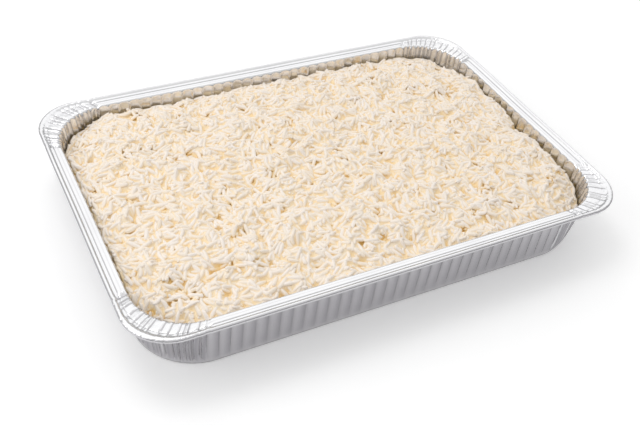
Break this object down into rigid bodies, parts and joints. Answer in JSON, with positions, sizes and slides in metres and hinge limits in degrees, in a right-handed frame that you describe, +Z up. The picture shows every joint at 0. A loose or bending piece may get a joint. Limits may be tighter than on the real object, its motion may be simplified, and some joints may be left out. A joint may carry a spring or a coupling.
{
  "type": "tray of steamed rice",
  "caption": "Oblong pleated foil catering tray with a rolled rim, filled with a low, uneven heap of steamed white long-grain rice.",
  "frame": {"origin": "middle of the underside of the tray, on the surface it stands on", "axes": "+X along the tray's long side, +Y across it towards the far side, +Z up out of the tray"},
  "size_m": [0.3244, 0.2244, 0.0421],
  "materials": {
    "foil": "bright rolled foil, pleated at the corners and fluted up the walls",
    "steamed_rice": "moist cream-white cooked grains, golden in the gaps between them"
  },
  "bodies": {
    "root": {"foil_tray": "foil", "rice": "steamed_rice"}
  },
  "joints": []
}
